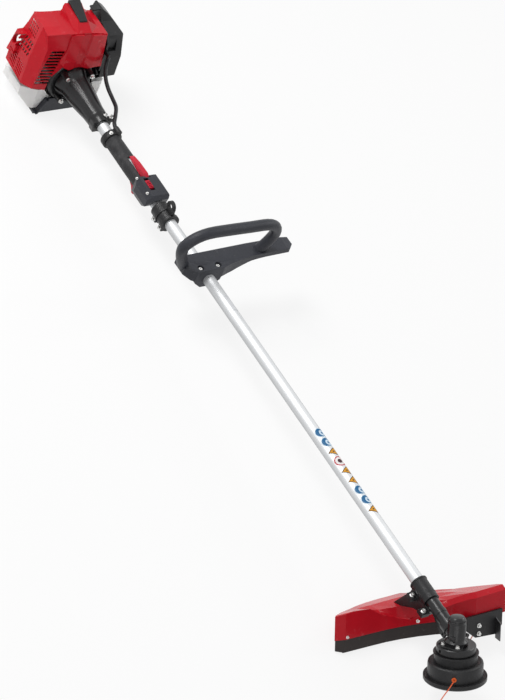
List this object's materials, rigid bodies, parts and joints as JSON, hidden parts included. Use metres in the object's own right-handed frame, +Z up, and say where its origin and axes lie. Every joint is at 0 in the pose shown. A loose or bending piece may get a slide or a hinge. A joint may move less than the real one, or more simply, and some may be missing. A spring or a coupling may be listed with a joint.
{
  "type": "string trimmer",
  "caption": "Petrol string trimmer: engine with moulded cover and tank, straight shaft with loop handle and barrier bar, throttle grip, angled gear head, guard and bump-feed line head.",
  "frame": {"origin": "on the ground, under the middle of the machine's bounding box, with the machine lying on its engine stand and its guard", "axes": "+X from the engine towards the cutting head, +Y to the operator's left, +Z up"},
  "size_m": [1.9868, 0.4116, 0.2624],
  "materials": {
    "tube_aluminium": "satin anodised",
    "bushing": "matt",
    "steel": "satin",
    "screw_steel": "zinc plated",
    "black_cast": "semi-gloss black",
    "black_plastic": "fine grain",
    "graphite_plastic": "fine grain",
    "grip_rubber": "soft, ribbed",
    "red_gloss": "high gloss",
    "red_plastic": "satin",
    "skirt_plastic": "matt",
    "line_nylon": "smooth",
    "spool_plastic": "smooth",
    "conduit_plastic": "satin",
    "cast_aluminium": "as cast",
    "lining": "rough",
    "ceramic": "glazed",
    "muffler_steel": "heat-stained",
    "foam": "open foam",
    "clear_bulb": "clear silicone",
    "tank_plastic": "translucent, satin"
  },
  "bodies": {
    "machine": {"shaft_tube": "tube_aluminium", "shaft_bushes": "bushing", "gear_housing": "black_cast", "gearbox_bearings": "steel", "holder_plate": "black_cast", "shaft_cup": "black_cast", "guard_collar": "black_plastic", "guard_bracket": "black_plastic", "guard_shell": "red_gloss", "guard_skirt": "skirt_plastic", "cutter_bracket": "black_plastic", "line_cutter": "steel", "loop_handle": "graphite_plastic", "barrier_bar": "graphite_plastic", "handle_clamp": "graphite_plastic", "carrying_eye": "black_plastic", "rear_grip": "grip_rubber", "grip_collar": "black_plastic", "throttle_housing_left": "graphite_plastic", "throttle_housing_right": "graphite_plastic", "throttle_conduit": "conduit_plastic", "socket_screws": "screw_steel", "clutch_housing": "black_cast", "fan_housing": "black_cast", "crankcase": "cast_aluminium", "engine_cylinder": "cast_aluminium", "spark_plug": "ceramic", "muffler": "muffler_steel", "engine_cover": "red_gloss", "cover_insert": "black_plastic", "filter_base": "black_plastic", "air_filter": "foam", "carburettor": "cast_aluminium", "fuel_tank": "tank_plastic", "engine_stand": "graphite_plastic", "starter_housing": "black_plastic"},
    "head": {"output_shaft": "steel", "head_hub": "black_plastic", "head_drum": "black_plastic", "line_eyelets": "screw_steel", "head_cover": "black_plastic", "line_front": "line_nylon", "line_rear": "line_nylon"},
    "bump": {"line_spool": "spool_plastic", "bump_spring": "steel", "bump_knob": "black_plastic"},
    "drive": {"drive_shaft": "steel", "clutch_drum": "steel"},
    "crank": {"crankshaft": "steel", "flywheel": "cast_aluminium", "clutch_shoes": "lining"},
    "trigger": {"throttle_trigger": "red_plastic"},
    "lockout": {"lockout_lever": "red_plastic"},
    "switch": {"stop_switch": "red_plastic"},
    "filter_door": {"filter_cover": "black_plastic"},
    "choke": {"choke_lever": "black_plastic"},
    "primer": {"primer_bulb": "clear_bulb"},
    "tank_cap": {"fuel_cap": "black_plastic"},
    "pull_grip": {"starter_grip": "black_plastic"},
    "butterfly": {"throttle_lever": "steel"}
  },
  "joints": [
    {"name": "head_spin", "type": "hinge", "parent": "machine", "child": "head", "pos_m": [0.86717, -0.02719, 0.14555], "axis": [-0.5279, 0, 0.8493], "continuous": true},
    {"name": "bump_press", "type": "slide", "parent": "head", "child": "bump", "axis": [-0.5279, 0, 0.8493], "range_m": [0, 0.006], "stiffness_N_per_m": 1500, "springref_m": -0.005},
    {"name": "drive_spin", "type": "hinge", "parent": "machine", "child": "drive", "pos_m": [0.84718, -0.02719, 0.14491], "axis": [0.9995, 0, 0.0325], "continuous": true},
    {"name": "crank_spin", "type": "hinge", "parent": "machine", "child": "crank", "pos_m": [-0.87191, -0.02719, 0.08904], "axis": [0.9995, 0, 0.0325], "continuous": true},
    {"name": "trigger_squeeze", "type": "hinge", "parent": "machine", "child": "trigger", "pos_m": [-0.47547, -0.02719, 0.08192], "axis": [0, 1, 0], "range_deg": [0, 8], "stiffness_Nm_per_rad": 0.6, "springref_deg": -8.59},
    {"name": "lockout_press", "type": "hinge", "parent": "machine", "child": "lockout", "pos_m": [-0.48173, -0.02719, 0.12073], "axis": [0, -1, 0], "range_deg": [0, 7], "stiffness_Nm_per_rad": 0.6, "springref_deg": -6.88},
    {"name": "stop_slide", "type": "slide", "parent": "machine", "child": "switch", "axis": [0.9995, 0, 0.0325], "range_m": [0, 0.006]},
    {"name": "filter_swing", "type": "hinge", "parent": "machine", "child": "filter_door", "pos_m": [-0.93783, 0.04661, 0.14693], "axis": [-0.0325, 0, 0.9995], "range_deg": [0, 70]},
    {"name": "choke_turn", "type": "hinge", "parent": "machine", "child": "choke", "pos_m": [-0.86076, 0.03281, 0.11542], "axis": [0, 1, 0], "range_deg": [0, 25]},
    {"name": "primer_press", "type": "slide", "parent": "machine", "child": "primer", "axis": [-0.0325, 0, 0.9995], "range_m": [0, 0.005], "stiffness_N_per_m": 300, "springref_m": -0.003},
    {"name": "cap_turn", "type": "hinge", "parent": "machine", "child": "tank_cap", "pos_m": [-0.94119, 0.05281, 0.06578], "axis": [-0.0325, 0, 0.9995], "range_deg": [0, 300]},
    {"name": "starter_pull", "type": "slide", "parent": "machine", "child": "pull_grip", "axis": [-0.0325, 0, 0.9995], "range_m": [0, 0.6], "stiffness_N_per_m": 8, "springref_m": -0.5},
    {"name": "butterfly_turn", "type": "hinge", "parent": "machine", "child": "butterfly", "pos_m": [-0.90565, 0.02781, 0.14197], "axis": [-0.0325, 0, 0.9995], "range_deg": [0, 40]}
  ],
  "couplings": [
    {"joint": "drive_spin", "follows": "head_spin", "ratio": 1.4615},
    {"joint": "butterfly_turn", "follows": "trigger_squeeze", "ratio": 5}
  ]
}
